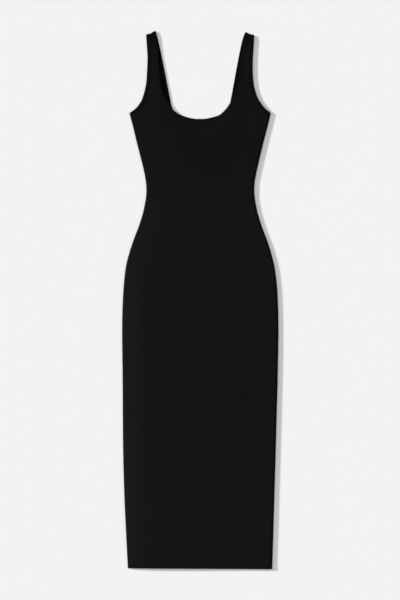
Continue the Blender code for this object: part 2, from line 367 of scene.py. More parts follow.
@dataclass(frozen=True)
class Cut:
    """The cut of one panel and the net of its cloth.

    Each half is two grids. The body's rows run from the middle line out to the side seam, from
    the hem up to the chest, where the inner columns end along the bottom of the neck. The outer
    columns go on up the strap, whose rows run from the neck out to the armhole.
    """

    neck: tuple[Level, ...]  # the outline of its neck
    neck_turn: float  # where the strap's inner edge begins, as a share of each half of the neck
    hem_ends: HemEnds = HEM_ENDS
    side_seams: tuple[Level, ...] = SIDE_SEAMS
    armholes: tuple[Level, ...] = ARMHOLES
    shoulder_seams: tuple[Rise, ...] = SHOULDER_SEAMS
    edge_lines: tuple[float, ...] = tuple(
        MM * far for far in (0.4, 0.8, 1.3, 2.0, 3.1, 3.8, 4.5, 5.2, 5.9, 6.5, 7.2, 7.9, 8.7, 9.8)
    )  # kept this far in from an edge
    narrow: float = 0.46  # but no further in than this share of a strap's width
    body_step: float = 0.007  # between rows of the body
    strap_step: float = 0.004  # between rows of a strap
    neck_columns: int = 14  # columns of each half that end along the bottom of the neck
    strap_columns: int = 4  # columns of a strap between its edge lines
    strap_samples: int = 400  # of the neck's line along a strap
    chest: float = 0.140  # how far below the neck the rows begin to take up its curve
    shoulder: float = 0.016  # how far below a shoulder seam the rows begin to take up its curve

    def spaced(
        self, length: float, steps: int, near: Sequence[float] = (), far: Sequence[float] = ()
    ) -> Array:
        """Shares of a length: its ends, lines kept near them, and even steps in between.

        Args:
            length: The whole length.
            steps: How many even steps lie between the lines.
            near: Distances of the lines kept near its start.
            far: Distances of the lines kept near its end.

        Returns:
            The shares in order, from 0 to 1.
        """
        start = np.minimum([0.0, *near], self.narrow * length)
        end = length - np.minimum([0.0, *far], self.narrow * length)
        middle = np.linspace(start[-1], end[-1], steps + 1)[1:-1]
        return np.concatenate([start, middle, end[::-1]]) / length

    def side_line(self, side: Side) -> Line:
        """The side seam, from the hem up."""
        hem = spot(side.of(self.hem_ends), side.of(self.side_seams[0]), side)
        return Line.through([hem, *knots(self.side_seams[1:], side)])

    def neck_line(self, side: Side) -> Line:
        """One half of the neck, from its bottom up to the shoulder."""
        neck = knots(self.neck, side)
        return Line.through(neck, lead=neck[1] * np.array((-1.0, 1.0)))

    def body_grid(self, side: Side, chest: Array) -> Array:
        """One half of the body, its rows from the hem up to the chest.

        Args:
            side: Which half.
            chest: The last row, from the middle line out to the underarm.

        Returns:
            The places by row and column.
        """
        seam = self.side_line(side)
        hem = spot((self.hem_ends.left + self.hem_ends.right) / 2, 0.0, side)
        middle = Line(np.array((hem, chest[0])))
        chord = chest[-1] - chest[0]
        chest_shares = (chest - chest[0]) @ chord / (chord @ chord)
        bulge = chest - chest[0] - chest_shares[:, None] * chord
        steps = round(middle.length / self.body_step)
        rows = []
        for share in self.spaced(middle.length, steps, self.edge_lines, self.edge_lines):
            start, end = middle.at(share), seam.at(share)
            width = np.linalg.norm(end - start)
            even = self.spaced(width, len(chest) - 1 - len(self.edge_lines), far=self.edge_lines)
            blend = max(0.0, 1 - (1 - share) * middle.length / self.chest) ** 2
            shares = even + blend * (chest_shares - even)
            rows.append(start + shares[:, None] * (end - start) + blend * bulge)
        return np.array(rows)

    def strap_grid(self, side: Side) -> Array:
        """One strap, its rows from the chest up to the shoulder seam.

        Args:
            side: Which strap.

        Returns:
            The places by row and column, from the neck out to the armhole.
        """
        along = np.linspace(self.neck_turn, 1.0, self.strap_samples)
        neck = Line(self.neck_line(side).at(along))
        armhole = Line.through(knots(self.armholes, side))
        steps = round(armhole.length / self.strap_step)
        out = [row.share for row in self.shoulder_seams]
        rises = [side.of(row) for row in self.shoulder_seams]
        rows = []
        for share in self.spaced(armhole.length, steps, far=self.edge_lines):
            start, end = neck.at(share), armhole.at(share)
            width = np.linalg.norm(end - start)
            shares = self.spaced(width, self.strap_columns, self.edge_lines, self.edge_lines)
            blend = max(0.0, 1 - (1 - share) * armhole.length / self.shoulder)
            row = start + shares[:, None] * (end - start)
            row[:, 1] += blend * np.interp(shares, out, rises)
            rows.append(row)
        return np.array(rows)

    def grids(self, side: Side) -> tuple[Array, Array]:
        """The two grids of one half.

        Args:
            side: Which half.

        Returns:
            The body's grid and the strap's.
        """
        bottom = self.neck_line(side).at(np.linspace(0.0, self.neck_turn, self.neck_columns + 1))
        strap = self.strap_grid(side)
        return self.body_grid(side, np.concatenate([bottom[:-1], strap[0]])), strap

    def net(self) -> Net:
        """The whole panel's net."""
        return Net.welded([grid for side in Side for grid in self.grids(side)])

    def stretches(self) -> list[Stretch]:
        """The stretches of the panel's edge.

        Returns:
            The stretches, counter-clockwise from the hem.
        """
        left, right = self.grids(Side.LEFT), self.grids(Side.RIGHT)
        hem = Line(left[0][0]).joined(Line(right[0][0]))
        neck = self.neck_line(Side.RIGHT).joined(self.neck_line(Side.LEFT))
        return [
            Stretch("hem", hem, Edging.TURNED),
            Stretch("side_right", Line(right[0][:, -1]), Edging.SEWN),
            Stretch("armhole_right", Line(right[1][:, -1]), Edging.TURNED),
            Stretch("shoulder_right", Line(right[1][-1, ::-1]), Edging.SEWN),
            Stretch("neck", neck, Edging.TURNED),
            Stretch("shoulder_left", Line(left[1][-1]), Edging.SEWN),
            Stretch("armhole_left", Line(left[1][::-1, -1]), Edging.TURNED),
            Stretch("side_left", Line(left[0][::-1, -1]), Edging.SEWN),
        ]


FRONT_CUT = Cut(neck=FRONT_NECK, neck_turn=0.28)
BACK_CUT = Cut(neck=BACK_NECK, neck_turn=0.22)


# --------------------------------------------------------------------------------------------
# Finishes


def linear(hex_colour: str) -> Colour:
    """A colour as the shader reads it.

    Args:
        hex_colour: Its sRGB value, such as "#16151a".

    Returns:
        Its linear red, green and blue, and an alpha of 1.
    """
    channels = [int(hex_colour[at : at + 2], 16) / 255 for at in (1, 3, 5)]
    red, green, blue = (
        c / 12.92 if c <= 0.04045 else ((c + 0.055) / 1.055) ** 2.4 for c in channels
    )
    return red, green, blue, 1.0


def feed(tree: bpy.types.NodeTree, node: bpy.types.Node, inputs: dict[str | int, object]) -> None:
    """Gives a node's inputs what they hold.

    Args:
        tree: The tree that the node is in.
        node: The node.
        inputs: The socket that feeds each input, or its value, by the input's name or number.
    """
    for name, value in inputs.items():
        if isinstance(value, bpy.types.NodeSocket):
            tree.links.new(value, node.inputs[name])
        else:
            node.inputs[name].default_value = value


def add_node(
    tree: bpy.types.NodeTree,
    kind: str,
    inputs: dict[str | int, object] | None = None,
    **settings: object,
) -> bpy.types.Node:
    """Adds one node with its settings and links.

    Args:
        tree: The tree it goes into.
        kind: Blender's name for the kind of node, without "ShaderNode".
        inputs: What its inputs hold, as for feed.
        **settings: The node's own properties.

    Returns:
        The node.
    """
    node = tree.nodes.new("ShaderNode" + kind)
    for name, setting in settings.items():
        setattr(node, name, setting)
    feed(tree, node, inputs or {})
    return node


def new_material(name: str) -> tuple[bpy.types.Material, bpy.types.NodeTree, bpy.types.Node]:
    """Makes a material.

    Args:
        name: Its name.

    Returns:
        The material, its tree and its Principled shader.
    """
    material = bpy.data.materials.new(name)
    material.use_nodes = True
    tree = material.node_tree
    return material, tree, tree.nodes["Principled BSDF"]


@dataclass(frozen=True)
class CompactKnit:
    """Compact stretch knit of viscose and elastane, piece-dyed black, smooth side out.

    To the eye it is a deep, even black that turns to soft grey where light grazes it, because
    fine fibres stand off its face. It shines nowhere. Close to, it has fine upright wales.
    """

    name: str
    dye: str
    faded: str  # the wales that took a little less dye
    sheen: float  # how strong the grey of the fibres is
    sheen_tint: str  # the colour of the fibres' light
    gloss: float  # how strong the yarn's own faint gloss is
    gloss_tint: str = "#fff9ff"  # the colour of that gloss
    pressed_and_shaded: str = "#030304"  # where the layer is full: squeezed knit whose loops hold more dye, and painted shade
    roughness: float = 0.62  # of the loose knit of the skirt
    press_and_shade_roughness: float = 0.88  # where that layer is full, for squeezed knit and painted shade alike
    sheen_roughness: float = 0.5
    streak_width: float = 6.25 * MM  # about eight real wales, along which the dye took unevenly
    streak_length: float = 1000 / 9 * MM  # 111 mm
    streak_detail: float = 3.0  # how many times they break up into finer ones
    streak_roughness: float = 0.6  # how strong each finer set is, to the one before's 1
    wale: float = 1.6 * MM  # really 0.8 mm, drawn twice as coarse so that it shows
    course: float = 1.2 * MM  # really 0.6 mm, as coarse as the wales
    relief: float = 0.10 * MM  # how high the wales stand
    loop_dip: float = 0.2  # how much lower the knit is between the loops of a wale

    def stitches(
        self, tree: bpy.types.NodeTree, place: bpy.types.NodeSocket
    ) -> bpy.types.NodeSocket:
        """The height of the knit: columns of V-shaped stitches.

        Args:
            tree: The material's tree.
            place: Where on the cloth, in metres.

        Returns:
            The height, from 0 in the furrows to 1 on the wales.
        """
        axes = add_node(tree, "SeparateXYZ", {0: place}).outputs
        made: dict[object, bpy.types.NodeSocket] = {"x": axes["X"], "y": axes["Y"]}
        for name, operation, first, second in (
            ("wales", "DIVIDE", "x", self.wale),
            ("across", "FRACT", "wales", 0.0),
            ("offset", "SUBTRACT", "across", 0.5),
            ("from_middle", "ABSOLUTE", "offset", 0.0),
            ("half_turn", "MULTIPLY", "across", math.pi),
            ("column", "SINE", "half_turn", 0.0),
            ("courses", "DIVIDE", "y", self.course),
            ("up", "ADD", "courses", "from_middle"),
            ("turn", "MULTIPLY", "up", math.tau),
            ("loop", "SINE", "turn", 0.0),
            ("dip", "MULTIPLY", "loop", self.loop_dip),
            ("legs", "ADD", "dip", 1 - self.loop_dip),
            ("height", "MULTIPLY", "column", "legs"),
        ):
            inputs = {0: made.get(first, first), 1: made.get(second, second)}
            made[name] = add_node(tree, "Math", inputs, operation=operation).outputs[0]
        return made["height"]

    def dyed(
        self,
        tree: bpy.types.NodeTree,
        place: bpy.types.NodeSocket,
        press_and_shade: bpy.types.NodeSocket,
    ) -> bpy.types.NodeSocket:
        """The colour of the knit: streaks of dye, and darker where the layer says, which along some
        edges is painted shade.

        Args:
            tree: The material's tree.
            place: Where on the cloth, in metres.
            press_and_shade: How dark the knit is drawn there, from 0 to 1, in part painted shade.

        Returns:
            The colour.
        """
        scale = (1 / self.streak_width, 1 / self.streak_length, 1 / self.streak_width)
        along = add_node(tree, "Mapping", {"Vector": place, "Scale": scale}).outputs[0]
        finer = {"Detail": self.streak_detail, "Roughness": self.streak_roughness}
        streaks = add_node(tree, "TexNoise", {"Vector": along, "Scale": 1.0, **finer})
        dyes = {0: streaks.outputs["Fac"], 6: linear(self.dye), 7: linear(self.faded)}
        loose = add_node(tree, "Mix", dyes, data_type="RGBA").outputs[2]
        tones = {0: press_and_shade, 6: loose, 7: linear(self.pressed_and_shaded)}
        return add_node(tree, "Mix", tones, data_type="RGBA").outputs[2]

    def material(self) -> bpy.types.Material:
        """Makes the material.

        Returns:
            The material.
        """
        material, tree, shader = new_material(self.name)
        place = add_node(tree, "TexCoord").outputs["Object"]
        # the layer darkens and roughens the knit; along some edges it is painted shade
        press_and_shade = add_node(tree, "Attribute", attribute_name=PRESS_AND_SHADE_LAYER).outputs["Fac"]
        ends = {"To Min": self.roughness, "To Max": self.press_and_shade_roughness}
        matt = add_node(tree, "MapRange", {"Value": press_and_shade, **ends})
        knit = {"Height": self.stitches(tree, place), "Strength": 1.0, "Distance": self.relief}
        finish = {
            "Base Color": self.dyed(tree, place, press_and_shade),
            "Normal": add_node(tree, "Bump", knit).outputs["Normal"],
            "Roughness": matt.outputs["Result"],
            "Specular IOR Level": self.gloss,
            "Specular Tint": linear(self.gloss_tint),
            "Sheen Weight": self.sheen,
            "Sheen Roughness": self.sheen_roughness,
            "Sheen Tint": linear(self.sheen_tint),
        }
        feed(tree, shader, finish)
        return material


@dataclass(frozen=True)
class SewingThread:
    """Spun polyester sewing thread, black: a hair darker than the knit, as it has no fuzz."""

    name: str = "black spun polyester thread"
    dye: str = "#070708"
    roughness: float = 0.6
    gloss: float = 0.06
    twist: float = 0.4 * MM  # from one bump of its twist to the next
    twist_strength: float = 0.6
    relief: float = 0.05 * MM  # how high those bumps stand

    def material(self) -> bpy.types.Material:
        """Makes the material.

        Returns:
            The material.
        """
        material, tree, shader = new_material(self.name)
        place = add_node(tree, "TexCoord").outputs["Object"]
        bumps = add_node(tree, "TexNoise", {"Vector": place, "Scale": 1 / self.twist})
        yarn = {
            "Height": bumps.outputs["Fac"],
            "Strength": self.twist_strength,
            "Distance": self.relief,
        }
        finish = {
            "Base Color": linear(self.dye),
            "Normal": add_node(tree, "Bump", yarn).outputs["Normal"],
            "Roughness": self.roughness,
            "Specular IOR Level": self.gloss,
        }
        feed(tree, shader, finish)
        return material


@dataclass(frozen=True)
class BackdropPaper:
    """Matt seamless paper, off-white, as a studio lays under what it shows."""

    name: str = "pale backdrop paper"
    tone: str = "#e7e7e5"
    roughness: float = 0.95
    gloss: float = 0.0

    def material(self) -> bpy.types.Material:
        """Makes the material.

        Returns:
            The material.
        """
        material, tree, shader = new_material(self.name)
        finish = {
            "Base Color": linear(self.tone),
            "Roughness": self.roughness,
            "Specular IOR Level": self.gloss,
        }
        feed(tree, shader, finish)
        return material


FRONT_KNIT = CompactKnit(
    name="black compact knit front",
    dye="#060609",
    faded="#08080b",
    sheen=0.02,
    sheen_tint="#c8c8dc",
    gloss=0.0755,
)
BACK_KNIT = CompactKnit(
    name="black compact knit back",
    dye="#050506",
    faded="#060608",
    sheen=0.01,
    sheen_tint="#c8c8d4",
    gloss=0.024,
)


# --------------------------------------------------------------------------------------------
# The cloth


def new_piece(
    name: str,
    points: Array,
    faces: Sequence[Sequence[int]],
    material: bpy.types.Material,
) -> bpy.types.Object:
    """Makes one shown piece that rides on the dress.

    Args:
        name: The piece's name.
        points: X, Y and Z of its points.
        faces: Each face as numbers of points.
        material: Its finish.

    Returns:
        The piece.
    """
    mesh = bpy.data.meshes.new(name)
    mesh.from_pydata(points.tolist(), [], faces)
    mesh.validate()
    mesh.shade_smooth()
    mesh.materials.append(material)
    piece = bpy.data.objects.new(name, mesh)
    bpy.context.scene.collection.objects.link(piece)
    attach(piece, BODY)
    return piece


@dataclass(frozen=True)
class TurnedEdge:
    """An edge folded to the inside and held by two rows of stitches."""

    cloth: float = 1.2 * MM  # thickness of one layer
    turned: float = 0.8 * MM  # what the turned layer adds to the wall
    width: float = 8.5 * MM  # of the turned cloth
    fade: float = 2.5 * MM  # over which the wall thins back to one layer
    ledge: float = 0.30 * MM  # how much of the turned layer shows on the outside
    rows: tuple[float, ...] = (4.5 * MM, 7.2 * MM)  # of stitches, from the edge in
    groove: float = 0.25 * MM  # how deep the stitches pull the cloth in
    groove_width: float = 0.7 * MM  # from a row to where the pull has mostly gone

    @property
    def height(self) -> float:
        """The wall's thickness at an edge."""
        return self.cloth + self.turned

    def backing(self, edge: Array) -> Array:
        """How much of the turned layer lies under each place, given its distance in."""
        return 1 - swing((edge - self.width) / self.fade)

    def grooves(self, edge: Array) -> Array:
        """How deep the rows of stitches pull in each place, given its distance in."""
        return sum(
            self.groove * np.exp(-(((edge - row) / self.groove_width) ** 2)) for row in self.rows
        )


TURNED_EDGE = TurnedEdge()


class Amount(NamedTuple):
    """How much of something there is at one level down the dress."""

    down: float
    amount: float


def amounts(table: Sequence[Amount], places: Array) -> Array:
    """What a table gives at each place, evenly between its levels."""
    return np.interp(LENGTH / 2 - places[:, 1], *np.transpose(table))


class DarkEdgeBand(NamedTuple):
    """Stretches of an edge along which the knit is drawn darker, some as knit squeezed close and
    some as painted shade.
    """

    stretches: tuple[str, ...]  # their names
    press_and_shade: float  # how dark it is drawn there, from 0 to 1
    width: float  # from the edge in
    fade: float  # over which the knit loosens beyond that


BODICE_DARKENING = (
    Amount(0.100, 0.28),  # straps
    Amount(0.170, 0.42),
    Amount(0.270, 0.42),  # bust
    Amount(0.340, 0.32),
    Amount(0.420, 0.13),
    Amount(0.880, 0.13),
    Amount(0.960, 0.00),
)  # how much darker and rougher the knit is drawn down the dress, from 0 to 1: darker on the bodice
DARK_EDGE_BANDS = (
    DarkEdgeBand(("armhole_left", "armhole_right"), 0.85, TURNED_EDGE.width, TURNED_EDGE.fade),
    DarkEdgeBand(("neck",), 0.55, TURNED_EDGE.width, TURNED_EDGE.fade),
    # painted shade where the straps bend away from the light at the shoulder seams
    DarkEdgeBand(("shoulder_left", "shoulder_right"), 0.95, 20.0 * MM, 40.0 * MM),
    # painted shade: a hairline where the hem, neck and armholes roll down away from the light
    DarkEdgeBand(("hem", "neck", "armhole_left", "armhole_right"), 1.0, 1.0 * MM, 3.0 * MM),
    # painted shade where the right side seam rolls under, away from the light
    DarkEdgeBand(("side_right",), 0.9, 1.5 * MM, 6.0 * MM),
)


class Swell(NamedTuple):
    """A low rise or hollow of the cloth."""

    down: float
    across: float  # to the right of the middle line
    along: float  # its reach along its length
    beside: float  # its reach to the sides of that
    slant: float  # of its length, to the right of upright, in degrees
    height: float  # below zero for a hollow

    def lift(self, places: Array) -> Array:
        """How much it lifts each place.

        Args:
            places: The places, one X and Y a row.

        Returns:
            The lift of each.
        """
        angle = math.radians(self.slant)
        ahead = np.array((math.sin(angle), math.cos(angle)))
        aside = np.array((math.cos(angle), -math.sin(angle)))
        offset = places - spot(self.down, self.across, Side.RIGHT)
        spread = (offset @ ahead / self.along) ** 2 + (offset @ aside / self.beside) ** 2
        return self.height * np.exp(-spread)


class Ridge(NamedTuple):
    """A low ridge along an edge, over the layers of cloth that are turned or sewn in there."""

    height: float  # how much it stands up
    crest: float  # from the edge to where it stands highest
    fall: float  # from there to where it has come down again

    def lift(self, edge: Array) -> Array:
        """How much it lifts each place, given its distance from the edge."""
        inside = 1 - swing((edge - self.crest) / self.fall)
        return self.height * ease(edge / self.crest) * inside


@dataclass(frozen=True)
class Reach:
    """How far places lie from a panel's edges."""

    turned: Array  # from the nearest turned edge, run on straight past its corners
    sewn: Array  # from the nearest seam

    RUN_ON: ClassVar[float] = 0.030  # how far a turned edge runs on past its corners

    @classmethod
    def of(cls, places: Array, stretches: Sequence[Stretch]) -> "Reach":
        """Measures places against a panel's edges.

        Args:
            places: The places, one X and Y a row.
            stretches: The stretches of the panel's edge.

        Returns:
            How far they lie from them.
        """
        turned = [s.line.extended(cls.RUN_ON) for s in stretches if s.edging is Edging.TURNED]
        sewn = [s.line for s in stretches if s.edging is Edging.SEWN]
        return cls(
            np.min([line.distance(places) for line in turned], axis=0),
            np.min([line.distance(places) for line in sewn], axis=0),
        )

    @property
    def edge(self) -> Array:
        """From the nearest edge of either kind."""
        return np.minimum(self.turned, self.sewn)


class Face(Enum):
    """A face of the cloth."""

    OUTER = "outer"
    INNER = "inner"


@dataclass
class Panel:
    """One panel of the dress as a closed shell of cloth."""

    name: str
    node: str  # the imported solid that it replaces
    slot: str  # the record's material slot of that solid
    cut: Cut
    knit: CompactKnit
    seam_height: float  # where its rim meets the other panel, as a share of the wall's height
    open_height: float = 0.5  # where its rim lies along an open edge, as such a share
    open_round: float = 1.3 * MM  # how far in a turned edge is rounded, above and below
    seam_round: float = 4.5 * MM  # how far in a seamed edge is rounded
    seam_reach: float = 8.0 * MM  # beyond this a seam no longer shapes an open edge's rounding
    rim: float = 0.12  # the wall's height at its very edge, as a share of its whole height
    edge: TurnedEdge = TURNED_EDGE
    bodice_darkening: tuple[Amount, ...] = BODICE_DARKENING
    pressed_and_shaded: tuple[DarkEdgeBand, ...] = DARK_EDGE_BANDS
    stretches: list[Stretch] = field(init=False)
    piece: bpy.types.Object | None = field(init=False, default=None)

    def __post_init__(self) -> None:
        """Works out the stretches of its edge."""
        self.stretches = self.cut.stretches()

    def flat_faces(self, places: Array, reach: Reach) -> tuple[Array, Array]:
        """Heights of the lower and upper faces before their edges are rounded."""
        raise NotImplementedError

    def faces(self, places: Array) -> tuple[Array, Array]:
        """Works out how high the cloth lies.

        Args:
            places: Places on the panel, one X and Y a row.

        Returns:
            Heights of the lower and upper faces there.
        """
        reach = Reach.of(places, self.stretches)
        low, high = self.flat_faces(places, reach)
        sewn = 1 - np.clip(reach.sewn / self.seam_reach, 0.0, 1.0)
        share = self.open_height + (self.seam_height - self.open_height) * sewn
        middle = low + share * (high - low)
        depth = self.open_round + (self.seam_round - self.open_round) * sewn
        opened = self.rim + (1 - self.rim) * np.sqrt(ease(reach.edge / depth))
        return middle + (low - middle) * opened, middle + (high - middle) * opened

    def distance_to(self, places: Array, *names: str) -> Array:
        """The distance from each place to the nearest of the named stretches."""
        lines = [stretch.line for stretch in self.stretches if stretch.name in names]
        return np.min([line.distance(places) for line in lines], axis=0)

    def press_and_shade(self, places: Array) -> Array:
        """How dark and rough the knit is drawn, down the dress and along its edges, partly painted
        shade.

        Args:
            places: Places on the panel, one X and Y a row.

        Returns:
            How dark it is drawn at each, from 0 to 1.
        """
        press_and_shade = amounts(self.bodice_darkening, places)
        for band in self.pressed_and_shaded:
            edge = self.distance_to(places, *band.stretches)
            press_and_shade = np.maximum(press_and_shade, band.press_and_shade * (1 - swing((edge - band.width) / band.fade)))
        return press_and_shade

    def build(self) -> bpy.types.Object:
        """Builds the shell and puts it in its solid's place.

        Returns:
            The shell.
        """
        net = self.cut.net()
        low, high = self.faces(net.places)
        points = np.concatenate(
            [np.column_stack([net.places, high]), np.column_stack([net.places, low])]
        )
        below = len(net.places)
        start, end = net.rim.T
        sides = np.column_stack([start + below, end + below, end, start])
        faces = np.concatenate([net.quads, net.quads[:, ::-1] + below, sides]).tolist()
        self.piece = new_piece(self.name, points, faces, self.knit.material())
        layer = self.piece.data.attributes.new(PRESS_AND_SHADE_LAYER, "FLOAT", "POINT")
        layer.data.foreach_set("value", np.tile(self.press_and_shade(net.places), 2).astype(np.float32))
        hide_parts(self.node)
        return self.piece

    def flat_size(self) -> tuple[float, float, float]:
        """Measures the panel's cut as far as it shows.

        Returns:
            Its width, length and area.
        """
        net = self.cut.net()
        width, length = np.ptp(net.places, axis=0)
        corners = net.places[net.quads]
        one, other = corners[:, 2] - corners[:, 0], corners[:, 3] - corners[:, 1]
        area = np.abs(one[:, 0] * other[:, 1] - one[:, 1] * other[:, 0]).sum() / 2
        return float(width), float(length), float(area)

    def declare(self, rests_on: str, with_pieces: Sequence[bpy.types.Object]) -> None:
        """Args:
            rests_on: The name of what it lies on; not used.
            with_pieces: The stitching that goes with it; not used.
        """
        width, length, area = self.flat_size()


@dataclass
class BackPanel(Panel):
    """The back, which lies flat on the floor with its turned cloth inside."""

    inner_pull: float = 0.5  # how deep stitches pull the inside in, to the outside's 1

    def flat_faces(self, places: Array, reach: Reach) -> tuple[Array, Array]:
        """Works out the faces before their edges are rounded.

        Args:
            places: Places on the panel, one X and Y a row.
            reach: How far they lie from its edges.

        Returns:
            Heights of the lower and upper faces there.
        """
        backing = np.maximum(self.edge.backing(reach.turned), self.edge.backing(reach.sewn))
        grooves = self.edge.grooves(reach.turned)
        inside = self.edge.cloth + self.edge.turned * backing - grooves * self.inner_pull
        return grooves, inside


FRONT_SWELLS = (
    Swell(0.300, -0.030, 0.090, 0.080, 0.0, 0.0004),
    Swell(0.450, 0.105, 0.115, 0.045, 0.0, 0.0020),
    Swell(0.450, -0.070, 0.080, 0.065, 0.0, -0.0012),
    Swell(0.630, 0.105, 0.120, 0.085, 40.0, -0.0026),
    Swell(0.640, -0.060, 0.080, 0.090, 0.0, 0.0004),
    Swell(0.740, -0.050, 0.160, 0.090, -35.0, 0.0012),
    Swell(0.930, 0.105, 0.165, 0.065, 0.0, 0.0025),
    Swell(0.960, -0.040, 0.090, 0.110, 0.0, 0.0005),
    Swell(1.090, 0.140, 0.130, 0.045, 0.0, 0.0013),
    Swell(1.160, -0.050, 0.115, 0.065, 40.0, 0.0011),
)
FRONT_AIR = (
    Amount(0.000, 0.00),  # shoulders
    Amount(0.150, 0.10),
    Amount(0.260, 0.35),  # bust
    Amount(0.378, 0.42),  # waist
    Amount(0.480, 0.70),
    Amount(0.580, 0.97),
    Amount(0.690, 1.00),  # hip
    Amount(0.930, 1.00),
    Amount(1.060, 1.20),
    Amount(1.200, 1.15),
    Amount(1.242, 0.75),  # hem
)  # how much air lies under the front, to the hip's 1


@dataclass
class FrontPanel(Panel):
    """The front, which lies on the back over a little air."""

    swells: tuple[Swell, ...] = FRONT_SWELLS
    air_levels: tuple[Amount, ...] = FRONT_AIR
    under: Cut = BACK_CUT  # the cut of the panel that it lies on
    air_height: float = 6.2 * MM  # how much it is lifted at the hip, over the lie of its seams
    left_rise: float = 0.050  # from the left side seam to where it is lifted fully
    right_rise: float = 0.200  # from the right side seam, where it comes down more gently
    open_air: float = 0.3  # the share of the air that it keeps at its neck and armholes
    open_rise: float = 0.060  # from those edges to where it is lifted fully
    hem_air: float = 0.4  # the share of the air that it keeps at its hem
    hem_rise: float = 8.0 * MM  # from the hem to where it is lifted fully
    sag_depth: float = 1.2 * MM  # how much it sinks where the back's neck leaves it bare
    sag_reach: float = 0.030  # from the back's neck to where it has sunk that much
    hem_ridge: Ridge = Ridge(height=1.0 * MM, crest=4.5 * MM, fall=7.0 * MM)
    right_ridge: Ridge = Ridge(height=1.3 * MM, crest=7.0 * MM, fall=60.0 * MM)
    panel_gap: float = 0.3 * MM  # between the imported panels; the seams close it
    seam_closes: float = 6.0 * MM  # within this of a seam
    seam_shows: float = 0.5  # the share of a seam allowance's ledge that shows outside

    def air(self, places: Array) -> Array:
        """How high the front is lifted over the back.

        Args:
            places: Places on the panel, one X and Y a row.

        Returns:
            The lift of each.
        """
        left = crown(self.distance_to(places, "side_left", "shoulder_left") / self.left_rise)
        right = crown(self.distance_to(places, "side_right", "shoulder_right") / self.right_rise)
        opening = self.distance_to(places, "neck", "armhole_left", "armhole_right")
        opened = self.open_air + (1 - self.open_air) * ease(opening / self.open_rise)
        hem = ease(self.distance_to(places, "hem") / self.hem_rise)
        opened *= self.hem_air + (1 - self.hem_air) * hem
        air = self.air_height * amounts(self.air_levels, places)
        swells = sum(swell.lift(places) for swell in self.swells)
        return left * right * opened * (air + swells)

    def ridges(self, places: Array) -> Array:
        """How much the hem stands up, and the right side seam, which is rolled under a little."""
        hem = self.hem_ridge.lift(self.distance_to(places, "hem"))
        return np.maximum(hem, self.right_ridge.lift(self.distance_to(places, "side_right")))

    def sag(self, places: Array) -> Array:
        """How much the front sinks where the back's neck leaves it no cloth under it.

        Args:
            places: Places on the panel, one X and Y a row.

        Returns:
            How much each sinks.
        """
        neck = self.under.neck_line(Side.LEFT).joined(self.under.neck_line(Side.RIGHT)).samples
        bottom = np.interp(places[:, 0], neck[:, 0], neck[:, 1], np.inf, np.inf)
        return self.sag_depth * ease((places[:, 1] - bottom) / self.sag_reach)

    def flat_faces(self, places: Array, reach: Reach) -> tuple[Array, Array]:
        """Works out the faces before their edges are rounded.

        Args:
            places: Places on the panel, one X and Y a row.
            reach: How far they lie from its edges.

        Returns:
            Heights of the lower and upper faces there.
        """
        edge = self.edge
        lift = self.air(places) + self.ridges(places) - self.sag(places)
        top = 2 * edge.height + self.panel_gap + lift
        open_backing, seam_backing = edge.backing(reach.turned), edge.backing(reach.sewn)
        shown = 1 - np.maximum(open_backing, seam_backing * self.seam_shows)
        hidden = 1 - np.maximum(open_backing, seam_backing)
        closed = self.panel_gap * (1 - swing(reach.sewn / self.seam_closes))
        high = top - edge.ledge * shown - edge.grooves(reach.turned)
        low = top - edge.height + (edge.turned - edge.ledge) * hidden - closed
        return low, high


# --------------------------------------------------------------------------------------------
# Stitching


class Ring(NamedTuple):
    """One ring of points round a stitch's thread."""

    along: float  # as a share of the stitch's length
    radius: float  # as a share of the thread's
    height: float  # over the cloth, in radii of the thread


STITCH_RINGS = (
    Ring(0.00, 0.35, -1.20),
    Ring(0.12, 0.85, -0.10),
    Ring(0.35, 1.00, 0.55),
    Ring(0.65, 1.00, 0.55),
    Ring(0.88, 0.85, -0.10),
    Ring(1.00, 0.35, -1.20),
)


